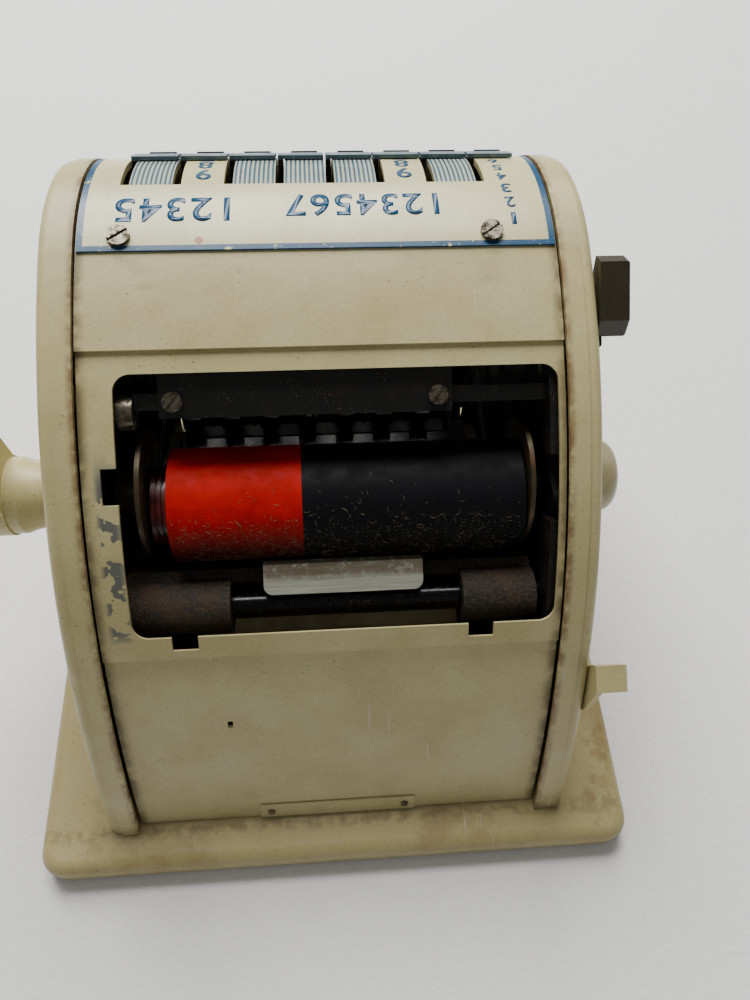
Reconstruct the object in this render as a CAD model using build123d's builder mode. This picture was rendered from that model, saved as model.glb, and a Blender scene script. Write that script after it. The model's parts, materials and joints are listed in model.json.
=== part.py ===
"""Lever-set desktop cheque writer, ink-roll cover off.

Frame: millimetres, +Z up, front towards -Y, operator's right hand +X.
Origin: centre of the rubber pad's underside, on the table.
"""
import os
from math import acos, atan2, cos, degrees, hypot, radians, sin

from build123d import *

# ---------------------------------------------------------------- driving sizes
# base casting and what closes it from below
BASE_WIDTH = 217.6
BASE_DEPTH = 250.0
BASE_TOP = 13.5
BASE_SKIRT_BOTTOM = 1.5
BASE_WALL = 4.0
BASE_DECK = 3.2
BASE_CORNER = 9.0
BASE_TOP_EDGE = 5.0
PAD_THICKNESS = 2.5
PAD_GAP = 0.6
FLOOR_PLATE = 1.5

# side outline of the body: crest arc about the lever shaft, then two rear arcs
SHAFT_Y = -43.7
SHAFT_Z = 104.8
CREST_RADIUS = 62.0
CREST_REAR_SLOPE = 18.0
FRONT_TANGENT = -110.0
SEAM_Y = 75.9
SEAM_Z = 87.8
REAR_FOOT_Y = 112.7

# widths across the body, measured from the middle plane
FRAME_INNER = 68.4
FRAME_THICKNESS = 2.5
PANEL_HALF = 72.6
COVER_INNER = 73.2
COVER_OUTER = 84.0
COVER_WALL = 1.6
COVER_RIM_PROUD = 0.3
COVER_RIM_WIDTH = 6.2
COVER_BEAD_STEP = 0.6
COVER_BEAD_RADIUS = 3.0

# sheet metal skins, as depths below the side outline
SHEET = 1.2
TRIM_THICKNESS = 0.8
FLANGE_DEPTH = 9.0

# ink cavity window
WINDOW_LEFT = -70.6
WINDOW_RIGHT = 62.4
WINDOW_TOP_SLOPE = 29.3
WINDOW_BOTTOM_SLOPE = 53.7
WINDOW_CORNER = 5.0
STEP_SLOPE = 26.8
NOTCH_WIDTH = 8.2
NOTCH_DEPTH = 4.6
NOTCH_RIGHT_X = 46.6
NOTCH_LEFT_X = -47.0
SIDE_NOTCH_LENGTH = 11.0

# levers: seven that set figures and one that locks, each in its own slot
SLOTS = 8
SLOT_PITCH = 16.0
SLOTS_CENTRE = 3.9
SLOT_WIDTH = 2.8
LEVER_THICKNESS = 1.6
LEVER_SLOPE = -32.0
SLOT_REAR_SLOPE = -7.0
SLOT_FRONT_SLOPE = -112.0
SHELL_FRONT_SLOPE = -141.0
LEVER_SHAFT_RADIUS = 5.0
RUNNING_GAP = 0.06
TYPE_RADIUS = 51.0

# ink roll and the eccentric carrier that holds it
CARRIER_Y = 23.4
CARRIER_Z = 106.2
ROLL_Y = 26.7
ROLL_Z = 102.0
ROLL_RADIUS = 18.7
ROLL_RIGHT = 50.2
ROLL_COLOUR_SPLIT = 8.5
ROLL_LEFT = -62.2
DISC_RADIUS = 20.5
DISC_THICKNESS = 1.5
KNOB_RADIUS = 12.0
KNOB_LENGTH = 10.6
KNOB_DOME = 4.6

# rocker under the roll
ROD_Y = 56.4
ROD_Z = 86.5
ROD_RADIUS = 4.5
BOSS_RADIUS = 8.8

# cheque table
TABLE_TOP = 50.0

# handle on the right, small levers on the left
HANDLE_Y = 14.0
HANDLE_Z = 92.0
HANDLE_HUB_RADIUS = 13.2
HANDLE_HUB_END = 107.0
HANDLE_NECK_START = 11.8
HANDLE_NECK_WAIST = 11.0
HANDLE_RING = 4.0
HANDLE_ARM_THICKNESS = 9.0
HANDLE_LENGTH = 86.0

# ---------------------------------------------------------------- derived geometry
FRAME_OUTER = FRAME_INNER + FRAME_THICKNESS
SHELL_DEPTH = TRIM_THICKNESS
WINDOW_PANEL_DEPTH = SHELL_DEPTH + SHEET
LOWER_PANEL_DEPTH = WINDOW_PANEL_DEPTH + SHEET
FRAME_DEPTH = LOWER_PANEL_DEPTH + SHEET
CREST = (SHAFT_Y, SHAFT_Z)
SKIRT_INNER_X = BASE_WIDTH / 2 - BASE_WALL
SKIRT_INNER_Y = BASE_DEPTH / 2 - BASE_WALL


def arc_point(centre, radius, slope):
    """Point on an arc where its surface falls rearwards at the given slope in degrees."""
    s = radians(slope)
    return (centre[0] + radius * sin(s), centre[1] + radius * cos(s))


def tangent_arc(start, start_slope, end):
    """Centre, radius and end slope of the arc that leaves start at a slope and meets end."""
    rise = start[1] - end[1]
    run = end[0] - start[0]
    turn = degrees(atan2(rise, run)) - start_slope
    radius = hypot(run, rise) / (2 * sin(radians(turn)))
    centre = arc_point(start, -radius, start_slope)
    return centre, radius, start_slope + 2 * turn


CREST_REAR = arc_point(CREST, CREST_RADIUS, CREST_REAR_SLOPE)
BACK, BACK_RADIUS, SEAM_SLOPE = tangent_arc(CREST_REAR, CREST_REAR_SLOPE, (SEAM_Y, SEAM_Z))
LOW, LOW_RADIUS, FOOT_SLOPE = tangent_arc((SEAM_Y, SEAM_Z), SEAM_SLOPE, (REAR_FOOT_Y, BASE_TOP))


def front_point(depth, height):
    """Point at a height on the straight front edge, moved inwards by depth."""
    s = radians(FRONT_TANGENT)
    y, z = arc_point(CREST, CREST_RADIUS - depth, FRONT_TANGENT)
    return (y + (z - height) * cos(s) / sin(s), height)


def foot_slope(depth):
    """Slope of the low rear arc where it reaches the base, at this depth."""
    return degrees(acos((BASE_TOP - LOW[1]) / (LOW_RADIUS - depth)))


def outline(depth):
    """Side outline of the body, moved inwards by depth and flat on the base."""
    low = LOW_RADIUS - depth
    back = BACK_RADIUS - depth
    crest = CREST_RADIUS - depth
    foot = foot_slope(depth)
    with BuildSketch(Plane.YZ) as face:
        with BuildLine():
            ThreePointArc(
                arc_point(LOW, low, foot),
                arc_point(LOW, low, (foot + SEAM_SLOPE) / 2),
                arc_point(LOW, low, SEAM_SLOPE),
            )
            ThreePointArc(
                arc_point(BACK, back, SEAM_SLOPE),
                arc_point(BACK, back, (SEAM_SLOPE + CREST_REAR_SLOPE) / 2),
                arc_point(BACK, back, CREST_REAR_SLOPE),
            )
            ThreePointArc(
                arc_point(CREST, crest, CREST_REAR_SLOPE),
                arc_point(CREST, crest, (CREST_REAR_SLOPE + FRONT_TANGENT) / 2),
                arc_point(CREST, crest, FRONT_TANGENT),
            )
            Line(arc_point(CREST, crest, FRONT_TANGENT), front_point(depth, BASE_TOP))
            Line(front_point(depth, BASE_TOP), arc_point(LOW, low, foot))
        make_face()
    return face.sketch


def arc_band(centre, outer, inner, start, end, x=0.0):
    """Ring sector between two radii and two slopes, in the side plane at x."""
    middle = (start + end) / 2
    with BuildSketch(Plane.YZ.offset(x)) as face:
        with BuildLine():
            ThreePointArc(*[arc_point(centre, outer, s) for s in (start, middle, end)])
            Line(arc_point(centre, outer, end), arc_point(centre, inner, end))
            ThreePointArc(*[arc_point(centre, inner, s) for s in (end, middle, start)])
            Line(arc_point(centre, inner, start), arc_point(centre, outer, start))
        make_face()
    return face.sketch


def side_disc(y, z, radius, x):
    """Circle in the side plane at x."""
    with BuildSketch(Plane.YZ.offset(x)) as face:
        with Locations((y, z)):
            Circle(radius)
    return face.sketch


def side_box(y, z, depth, height, x, tilt=0.0):
    """Rectangle in the side plane at x, centred on (y, z) and turned by tilt degrees."""
    with BuildSketch(Plane.YZ.offset(x)) as face:
        with Locations((y, z)):
            Rectangle(depth, height, rotation=tilt)
    return face.sketch


def crossbar(y, z, radius, x_from, x_to):
    """Round bar across the machine."""
    return extrude(side_disc(y, z, radius, x_from), amount=x_to - x_from)


def save(part, name):
    """Label a finished piece and write it under its own name."""
    part.label = name
    export_step(part, f"parts/{name}.step")


os.makedirs("parts", exist_ok=True)

# ---------------------------------------------------------------- base
FLOOR_PLATE_BOTTOM = PAD_THICKNESS
DECK_BOTTOM = BASE_TOP - BASE_DECK
FLOOR_SCREW_X = 88.0
FLOOR_SCREW_Y = 104.0
FLOOR_BOSS_RADIUS = 5.0
FLOOR_SCREW_RADIUS = 2.0
FLOOR_HEAD_RADIUS = 3.8
FLOOR_HEAD_HEIGHT = 1.3
FLOOR_SCREW_LENGTH = 6.5
FRAME_SCREW_X = FRAME_INNER - 7.5
FRAME_SCREW_Y = (-48.0, 78.0)
FRAME_SCREW_RADIUS = 2.5
FRAME_HEAD_RADIUS = 4.2
FRAME_HEAD_HEIGHT = 3.0
FOOT_FLANGE = 15.0

with BuildPart() as base:
    with BuildSketch(Plane.XY.offset(BASE_SKIRT_BOTTOM)):
        RectangleRounded(BASE_WIDTH, BASE_DEPTH, BASE_CORNER)
    extrude(amount=BASE_TOP - BASE_SKIRT_BOTTOM)
    fillet(base.faces().sort_by(Axis.Z)[-1].edges(), BASE_TOP_EDGE)
    with BuildSketch(Plane.XY.offset(BASE_SKIRT_BOTTOM)):
        RectangleRounded(2 * SKIRT_INNER_X, 2 * SKIRT_INNER_Y, BASE_CORNER - BASE_WALL)
    extrude(amount=DECK_BOTTOM - BASE_SKIRT_BOTTOM, mode=Mode.SUBTRACT)
    with BuildSketch(Plane.XY.offset(FLOOR_PLATE_BOTTOM + FLOOR_PLATE)):
        with GridLocations(2 * FLOOR_SCREW_X, 2 * FLOOR_SCREW_Y, 2, 2):
            Circle(FLOOR_BOSS_RADIUS)
    extrude(amount=DECK_BOTTOM - FLOOR_PLATE_BOTTOM - FLOOR_PLATE)
    with BuildSketch(Plane.XY.offset(FLOOR_PLATE_BOTTOM)):
        with GridLocations(2 * FLOOR_SCREW_X, 2 * FLOOR_SCREW_Y, 2, 2):
            Circle(FLOOR_SCREW_RADIUS)
    extrude(amount=7.0, mode=Mode.SUBTRACT)
    with BuildSketch(Plane.XY.offset(DECK_BOTTOM)):
        for y in FRAME_SCREW_Y:
            with Locations((-FRAME_SCREW_X, y), (FRAME_SCREW_X, y)):
                Circle(FRAME_SCREW_RADIUS)
    extrude(amount=BASE_DECK, mode=Mode.SUBTRACT)
save(base.part, "base")

with BuildPart() as bottom_plate:
    with BuildSketch(Plane.XY.offset(FLOOR_PLATE_BOTTOM)):
        RectangleRounded(2 * (SKIRT_INNER_X - PAD_GAP), 2 * (SKIRT_INNER_Y - PAD_GAP), BASE_CORNER - BASE_WALL)
        with GridLocations(2 * FLOOR_SCREW_X, 2 * FLOOR_SCREW_Y, 2, 2):
            Circle(FLOOR_SCREW_RADIUS, mode=Mode.SUBTRACT)
    extrude(amount=FLOOR_PLATE)
save(bottom_plate.part, "bottom_plate")

with BuildPart() as base_pad:
    with BuildSketch():
        RectangleRounded(2 * (SKIRT_INNER_X - PAD_GAP), 2 * (SKIRT_INNER_Y - PAD_GAP), BASE_CORNER - BASE_WALL)
        with GridLocations(2 * FLOOR_SCREW_X, 2 * FLOOR_SCREW_Y, 2, 2):
            Circle(FLOOR_HEAD_RADIUS + PAD_GAP, mode=Mode.SUBTRACT)
    extrude(amount=PAD_THICKNESS)
save(base_pad.part, "base_pad")

with BuildPart() as base_screws:
    with BuildSketch(Plane.XY.offset(FLOOR_PLATE_BOTTOM - FLOOR_HEAD_HEIGHT)):
        with GridLocations(2 * FLOOR_SCREW_X, 2 * FLOOR_SCREW_Y, 2, 2):
            Circle(FLOOR_HEAD_RADIUS)
    extrude(amount=FLOOR_HEAD_HEIGHT)
    with BuildSketch(Plane.XY.offset(FLOOR_PLATE_BOTTOM)):
        with GridLocations(2 * FLOOR_SCREW_X, 2 * FLOOR_SCREW_Y, 2, 2):
            Circle(FLOOR_SCREW_RADIUS)
    extrude(amount=FLOOR_SCREW_LENGTH)
    with BuildSketch(Plane.XY.offset(DECK_BOTTOM - FRAME_HEAD_HEIGHT)):
        for y in FRAME_SCREW_Y:
            with Locations((-FRAME_SCREW_X, y), (FRAME_SCREW_X, y)):
                Circle(FRAME_HEAD_RADIUS)
    extrude(amount=FRAME_HEAD_HEIGHT)
    with BuildSketch(Plane.XY.offset(DECK_BOTTOM)):
        for y in FRAME_SCREW_Y:
            with Locations((-FRAME_SCREW_X, y), (FRAME_SCREW_X, y)):
                Circle(FRAME_SCREW_RADIUS)
    extrude(amount=BASE_DECK + FRAME_THICKNESS)
save(base_screws.part, "base_screws")

# ---------------------------------------------------------------- side frames
TIE_RODS = ((82.0, 34.0), (30.0, 30.0), (-46.0, 27.0))
TIE_ROD_RADIUS = 4.0
THROAT_HEIGHT = 7.0
THROAT_END = 3.0
NOSE_END_SLOPE = -146.0
BAR_DEPTH = 59.9
BAR_THICKNESS = 3.0
BAR_WIDTH = 5.0
BAR_SLOPE = 41.8
COVER_SCREWS = ((-60.0, 27.0), (92.0, 27.0), (-82.0, 112.0), (2.0, 137.0))
COVER_SCREW_RADIUS = 2.0
STUD_Y = 13.2
STUD_Z = 134.6
STUD_RADIUS = 3.0
STUD_HEAD_RADIUS = 5.4
STUD_HEAD_START = 57.7
STUD_HEAD_END = 62.5
CARRIER_JOURNAL = 4.0
CARRIER_NOTCH = 10.5
STUB_RADIUS = 6.0


def on_back_plane(distance, along):
    """Point at a distance from the lever shaft square to the window, and along it downwards."""
    s = radians(BAR_SLOPE)
    return (
        SHAFT_Y + distance * sin(s) + along * cos(s),
        SHAFT_Z + distance * cos(s) - along * sin(s),
    )


# along-the-window place of the guide plate's lower edge
GUIDE_EDGE = 24.5
GUIDE_WIDTH = 17.0
GUIDE_THICKNESS = 1.3
BAR_CENTRE = on_back_plane(BAR_DEPTH + BAR_THICKNESS / 2, GUIDE_EDGE - 5.0)

for side, name in ((1, "right_side_frame"), (-1, "left_side_frame")):
    inner_face = side * FRAME_INNER
    with BuildPart() as frame:
        extrude(outline(FRAME_DEPTH).moved(Location((inner_face, 0, 0))), amount=side * FRAME_THICKNESS)
        flange_middle = side * (FRAME_INNER - FOOT_FLANGE / 2)
        with BuildSketch(Plane.XY.offset(BASE_TOP)):
            with Locations((flange_middle, 15.0)):
                Rectangle(FOOT_FLANGE, 150.0)
            for y in FRAME_SCREW_Y:
                with Locations((side * FRAME_SCREW_X, y)):
                    Circle(FRAME_SCREW_RADIUS, mode=Mode.SUBTRACT)
        extrude(amount=FRAME_THICKNESS)
        holes = [(SHAFT_Y, SHAFT_Z, LEVER_SHAFT_RADIUS)]
        holes += [(ROD_Y, ROD_Z, ROD_RADIUS + RUNNING_GAP)]
        holes += [(y, z, TIE_ROD_RADIUS) for y, z in TIE_RODS]
        holes += [(y, z, COVER_SCREW_RADIUS) for y, z in COVER_SCREWS]
        if side > 0:
            holes += [(CARRIER_Y, CARRIER_Z, CARRIER_JOURNAL + RUNNING_GAP)]
            holes += [(HANDLE_Y, HANDLE_Z, STUB_RADIUS + RUNNING_GAP)]
            holes += [(STUD_Y, STUD_Z, STUD_RADIUS)]
        for y, z, radius in holes:
            hole_face = side_disc(y, z, radius, inner_face)
            extrude(hole_face, amount=side * FRAME_THICKNESS, mode=Mode.SUBTRACT)
        throat = side_box(-60.0 + THROAT_END / 2, TABLE_TOP + THROAT_HEIGHT / 2, 120.0 + THROAT_END, THROAT_HEIGHT,
                          inner_face)
        extrude(throat, amount=side * FRAME_THICKNESS, mode=Mode.SUBTRACT)
        nose_gap = arc_band(CREST, CREST_RADIUS + 4.5, CREST_RADIUS - FRAME_DEPTH, FRONT_TANGENT, NOSE_END_SLOPE,
                            inner_face)
        extrude(nose_gap, amount=side * FRAME_THICKNESS, mode=Mode.SUBTRACT)
        if side < 0:
            notch_y = CARRIER_Y + 20.0 * sin(radians(BAR_SLOPE))
            notch_z = CARRIER_Z + 20.0 * cos(radians(BAR_SLOPE))
            mouth = side_box(notch_y, notch_z, 2 * CARRIER_NOTCH, 40.0, inner_face, -BAR_SLOPE)
            extrude(mouth, amount=side * FRAME_THICKNESS, mode=Mode.SUBTRACT)
            notch_floor = side_disc(CARRIER_Y, CARRIER_Z, CARRIER_NOTCH, inner_face)
            extrude(notch_floor, amount=side * FRAME_THICKNESS, mode=Mode.SUBTRACT)
    save(frame.part, name)

with BuildPart() as tie_rods:
    for y, z in TIE_RODS:
        add(crossbar(y, z, TIE_ROD_RADIUS, -FRAME_OUTER, FRAME_OUTER))
save(tie_rods.part, "tie_rods")

with BuildPart() as lever_shaft:
    add(crossbar(SHAFT_Y, SHAFT_Z, LEVER_SHAFT_RADIUS, -FRAME_OUTER - 1.5, FRAME_OUTER + 1.5))
save(lever_shaft.part, "lever_shaft")

with BuildPart() as ink_bearing:
    with BuildSketch(Plane.YZ.offset(-FRAME_OUTER)):
        with Locations((CARRIER_Y, CARRIER_Z)):
            RectangleRounded(34.0, 22.0, 4.0)
            Circle(CARRIER_JOURNAL + RUNNING_GAP, mode=Mode.SUBTRACT)
    extrude(amount=-1.6)
save(ink_bearing.part, "ink_bearing")

# ---------------------------------------------------------------- side covers
BEAD_START = COVER_INNER + COVER_RIM_WIDTH

for side, name in ((1, "right_side_cover"), (-1, "left_side_cover")):
    with BuildPart() as cover:
        rim_face = outline(-COVER_RIM_PROUD).moved(Location((side * COVER_INNER, 0, 0)))
        extrude(rim_face, amount=side * COVER_RIM_WIDTH)
        bead_face = outline(COVER_BEAD_STEP - COVER_RIM_PROUD).moved(Location((side * BEAD_START, 0, 0)))
        extrude(bead_face, amount=side * (COVER_OUTER - BEAD_START))
        outer_edges = cover.faces().sort_by(Axis.X)[-1 if side > 0 else 0].edges()
        rounded = [edge for edge in outer_edges if edge.center().Z > BASE_TOP + 0.1]
        fillet(rounded, COVER_BEAD_RADIUS)
        hollow = outline(COVER_WALL).moved(Location((side * COVER_INNER, 0, 0)))
        extrude(hollow, amount=side * (COVER_OUTER - COVER_WALL - COVER_INNER), mode=Mode.SUBTRACT)
        slot = side_box(-60.0 + THROAT_END / 2, TABLE_TOP + THROAT_HEIGHT / 2, 120.0 + THROAT_END, THROAT_HEIGHT,
                        side * COVER_INNER)
        extrude(slot, amount=side * (COVER_OUTER - COVER_INNER), mode=Mode.SUBTRACT)
        cover_holes = [(y, z, COVER_SCREW_RADIUS) for y, z in COVER_SCREWS]
        if side > 0:
            cover_holes += [(HANDLE_Y, HANDLE_Z, STUB_RADIUS + 1.0)]
        else:
            cover_holes += [(CARRIER_Y, CARRIER_Z, CARRIER_JOURNAL + 0.8)]
        for y, z, radius in cover_holes:
            hole_face = side_disc(y, z, radius, side * COVER_INNER)
            extrude(hole_face, amount=side * (COVER_OUTER - COVER_INNER), mode=Mode.SUBTRACT)
    save(cover.part, name)

with BuildPart() as cover_screws:
    for side in (1, -1):
        for y, z in COVER_SCREWS:
            extrude(side_disc(y, z, COVER_SCREW_RADIUS, side * FRAME_INNER), amount=side * (COVER_OUTER - FRAME_INNER))
            extrude(side_disc(y, z, 4.0, side * COVER_OUTER), amount=side * 1.5)
            slot_face = side_box(y, z, 8.4, 0.9, side * (COVER_OUTER + 0.8))
            extrude(slot_face, amount=side * 0.9, mode=Mode.SUBTRACT)
save(cover_screws.part, "cover_screws")

# ---------------------------------------------------------------- top cover, index plate and panels


def slot_centre(slot):
    """X of a slot's middle, slot 1 being on the operator's right."""
    return SLOTS_CENTRE + ((SLOTS + 1) / 2 - slot) * SLOT_PITCH


def slotted_skin(outer, inner, rear, front, half):
    """Curved skin over the crest, built as strips so that the lever slots stay open between them."""
    walls = [half]
    for slot in range(1, SLOTS + 1):
        walls += [slot_centre(slot) + SLOT_WIDTH / 2, slot_centre(slot) - SLOT_WIDTH / 2]
    walls.append(-half)
    with BuildPart(mode=Mode.PRIVATE) as skin:
        extrude(arc_band(CREST, outer, inner, rear, SLOT_REAR_SLOPE), amount=half, both=True)
        extrude(arc_band(CREST, outer, inner, SLOT_FRONT_SLOPE, front), amount=half, both=True)
        for near, far in zip(walls[::2], walls[1::2]):
            strip = arc_band(CREST, outer, inner, SLOT_REAR_SLOPE, SLOT_FRONT_SLOPE, far)
            extrude(strip, amount=near - far)
    return skin.part


FLANGE_X = PANEL_HALF - SHEET

with BuildPart() as top_cover:
    deep = SHELL_DEPTH + SHEET
    shell_outer = CREST_RADIUS - SHELL_DEPTH
    shell_inner = CREST_RADIUS - deep
    for side in (1, -1):
        crest_flange = arc_band(CREST, shell_outer, shell_inner - FLANGE_DEPTH, CREST_REAR_SLOPE, SHELL_FRONT_SLOPE,
                                side * FLANGE_X)
        extrude(crest_flange, amount=side * SHEET)
    add(slotted_skin(shell_outer, shell_inner, CREST_REAR_SLOPE, SHELL_FRONT_SLOPE, FLANGE_X))
    rear_skin = arc_band(BACK, BACK_RADIUS - SHELL_DEPTH, BACK_RADIUS - deep, CREST_REAR_SLOPE, STEP_SLOPE + 0.3)
    extrude(rear_skin, amount=PANEL_HALF, both=True)
save(top_cover.part, "top_cover")

TRIM_EDGE = 0.4
TRIM_FRONT_SLOPE = -138.0
TRIM_SCREWS = ((59.9, 13.6), (-52.8, 13.6), (66.5, -95.0), (-62.0, -95.0))

with BuildPart() as index_plate:
    plate_inner = CREST_RADIUS - TRIM_THICKNESS
    add(slotted_skin(CREST_RADIUS, plate_inner, CREST_REAR_SLOPE, TRIM_FRONT_SLOPE, PANEL_HALF - TRIM_EDGE))
save(index_plate.part, "index_plate")


def surface_plane(centre, radius, slope, x):
    """Plane tangent to an arc surface at a slope, its normal pointing out of the body."""
    y, z = arc_point(centre, radius, slope)
    s = radians(slope)
    return Plane(origin=(x, y, z), x_dir=(1, 0, 0), z_dir=(0, sin(s), cos(s)))


with BuildPart() as index_plate_screws:
    for x, slope in TRIM_SCREWS:
        seat = surface_plane(CREST, CREST_RADIUS + 0.05, slope, x)
        with BuildSketch(seat):
            Circle(3.5)
        extrude(amount=1.3)
        with BuildSketch(seat.offset(0.7)):
            Rectangle(7.4, 0.9, rotation=35.0)
        extrude(amount=0.8, mode=Mode.SUBTRACT)
save(index_plate_screws.part, "index_plate_screws")

with BuildPart() as window_panel:
    inner = WINDOW_PANEL_DEPTH + SHEET
    panel_skin = arc_band(BACK, BACK_RADIUS - WINDOW_PANEL_DEPTH, BACK_RADIUS - inner, STEP_SLOPE - 2.0, SEAM_SLOPE)
    extrude(panel_skin, amount=PANEL_HALF, both=True)
    middle_slope = (WINDOW_TOP_SLOPE + WINDOW_BOTTOM_SLOPE) / 2
    window_plane = surface_plane(BACK, BACK_RADIUS - WINDOW_PANEL_DEPTH - 8.0, middle_slope, 0.0)
    window_height = 2 * BACK_RADIUS * sin(radians((WINDOW_BOTTOM_SLOPE - WINDOW_TOP_SLOPE) / 2))
    window_x = (WINDOW_LEFT + WINDOW_RIGHT) / 2
    with BuildSketch(window_plane):
        with Locations((window_x, 0)):
            RectangleRounded(WINDOW_RIGHT - WINDOW_LEFT, window_height, WINDOW_CORNER)
        with Locations((NOTCH_RIGHT_X, window_height / 2), (NOTCH_LEFT_X, window_height / 2)):
            Rectangle(NOTCH_WIDTH, 2 * NOTCH_DEPTH)
        with Locations((WINDOW_RIGHT, -8.0)):
            Rectangle(2 * NOTCH_DEPTH, SIDE_NOTCH_LENGTH)
    extrude(amount=20.0, mode=Mode.SUBTRACT)
save(window_panel.part, "window_panel")

with BuildPart() as lower_panel:
    outer = LOW_RADIUS - LOWER_PANEL_DEPTH
    low_skin = arc_band(LOW, outer, outer - SHEET, SEAM_SLOPE, foot_slope(LOWER_PANEL_DEPTH + SHEET) - 0.02)
    extrude(low_skin, amount=PANEL_HALF, both=True)
    tuck_outer = BACK_RADIUS - LOWER_PANEL_DEPTH
    tuck = arc_band(BACK, tuck_outer, tuck_outer - SHEET, SEAM_SLOPE - 0.5, SEAM_SLOPE)
    extrude(tuck, amount=PANEL_HALF, both=True)
    pin_plane = surface_plane(LOW, outer - 4.0, 61.5, 35.6)
    with BuildSketch(pin_plane):
        Rectangle(1.8, 3.0)
    extrude(amount=8.0, mode=Mode.SUBTRACT)
save(lower_panel.part, "lower_panel")

PLATE_SLOPE = FOOT_SLOPE - 1.0
PLATE_LENGTH = 57.0
PLATE_HEIGHT = 7.4
PLATE_X = 0.4

with BuildPart() as nameplate:
    name_plane = surface_plane(LOW, LOW_RADIUS - LOWER_PANEL_DEPTH + 0.1, PLATE_SLOPE, PLATE_X)
    with BuildSketch(name_plane):
        RectangleRounded(PLATE_LENGTH, PLATE_HEIGHT, 0.8)
    extrude(amount=0.7)
save(nameplate.part, "nameplate")

with BuildPart() as nameplate_rivets:
    with BuildSketch(name_plane.offset(0.7)):
        with Locations((-24.5, 0), (24.5, 0)):
            Circle(1.3)
    extrude(amount=0.6)
save(nameplate_rivets.part, "nameplate_rivets")

with BuildPart() as front_apron:
    with BuildSketch(Plane.YZ):
        with BuildLine():
            Polyline(
                front_point(SHELL_DEPTH, BASE_TOP),
                front_point(SHELL_DEPTH, TABLE_TOP - SHEET),
                front_point(SHELL_DEPTH + SHEET, TABLE_TOP - SHEET),
                front_point(SHELL_DEPTH + SHEET, BASE_TOP),
                close=True,
            )
        make_face()
    extrude(amount=FRAME_INNER - 0.2, both=True)
save(front_apron.part, "front_apron")

TABLE_FRONT = -97.0
PLATEN_HALF = 58.0
PLATEN_WIDTH = 6.0
PLATEN_SLOT = PLATEN_WIDTH + 5.6
ARM_SLOT_WIDTH = 8.2
ARM_SLOT_START = -51.0

with BuildPart() as cheque_table:
    with BuildSketch(Plane.XY.offset(TABLE_TOP - SHEET)):
        with Locations((0, (TABLE_FRONT + THROAT_END) / 2)):
            RectangleRounded(2 * (FRAME_INNER - 0.2), THROAT_END - TABLE_FRONT, 3.0)
        with Locations((SLOTS_CENTRE, SHAFT_Y)):
            Rectangle(2 * PLATEN_HALF, PLATEN_SLOT, mode=Mode.SUBTRACT)
        for side in (1, -1):
            with Locations((side * (FRAME_INNER - ARM_SLOT_WIDTH / 2), (ARM_SLOT_START + THROAT_END) / 2)):
                Rectangle(ARM_SLOT_WIDTH, THROAT_END - ARM_SLOT_START + 1.0, mode=Mode.SUBTRACT)
    extrude(amount=SHEET)
save(cheque_table.part, "cheque_table")

# ---------------------------------------------------------------- comb bar over the sectors
with BuildPart() as comb_bar:
    bar_face = side_box(BAR_CENTRE[0], BAR_CENTRE[1], BAR_WIDTH, BAR_THICKNESS, -FRAME_INNER, -BAR_SLOPE)
    extrude(bar_face, amount=FRAME_INNER + STUD_HEAD_START - 0.1)
save(comb_bar.part, "comb_bar")

GUIDE_CENTRE_X = 5.7
GUIDE_HALF = 44.2

with BuildPart() as comb_guide_plate:
    guide_y, guide_z = on_back_plane(BAR_DEPTH + BAR_THICKNESS + GUIDE_THICKNESS / 2, GUIDE_EDGE - GUIDE_WIDTH / 2)
    guide_face = side_box(guide_y, guide_z, GUIDE_WIDTH, GUIDE_THICKNESS, GUIDE_CENTRE_X - GUIDE_HALF, -BAR_SLOPE)
    extrude(guide_face, amount=2 * GUIDE_HALF)
save(comb_guide_plate.part, "comb_guide_plate")

with BuildPart() as cavity_screws:
    screw_y, screw_z = on_back_plane(BAR_DEPTH + BAR_THICKNESS + GUIDE_THICKNESS, GUIDE_EDGE - 5.0)
    slant = radians(BAR_SLOPE)
    for x in (45.7, -34.1):
        screw_plane = Plane(origin=(x, screw_y, screw_z), x_dir=(1, 0, 0), z_dir=(0, sin(slant), cos(slant)))
        with BuildSketch(screw_plane):
            Circle(3.0)
        extrude(amount=1.6)
        with BuildSketch(screw_plane.offset(0.9)):
            Rectangle(6.2, 0.8, rotation=50.0)
        extrude(amount=0.9, mode=Mode.SUBTRACT)
    add(crossbar(STUD_Y, STUD_Z, STUD_RADIUS, STUD_HEAD_END, FRAME_OUTER))
    add(crossbar(STUD_Y, STUD_Z, STUD_HEAD_RADIUS, STUD_HEAD_START, STUD_HEAD_END))
    extrude(side_box(STUD_Y, STUD_Z, 2 * STUD_HEAD_RADIUS + 0.2, 1.1, STUD_HEAD_START), amount=1.4, mode=Mode.SUBTRACT)
save(cavity_screws.part, "cavity_screws")

with BuildPart() as detent_wires:
    wire_y, wire_z = on_back_plane(BAR_DEPTH - 0.5, GUIDE_EDGE - 5.0)
    for slot in range(1, SLOTS):
        x = slot_centre(slot) - SLOT_PITCH / 2
        with BuildSketch(Plane(origin=(x, wire_y, wire_z), x_dir=(1, 0, 0), z_dir=(0, 0, -1))):
            Circle(0.6)
        extrude(amount=13.0)
        with BuildSketch(Plane(origin=(x + 3.0, wire_y, wire_z), x_dir=(1, 0, 0), z_dir=(0, 0, -1))):
            Circle(0.6)
        extrude(amount=13.0)
save(detent_wires.part, "detent_wires")

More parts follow.
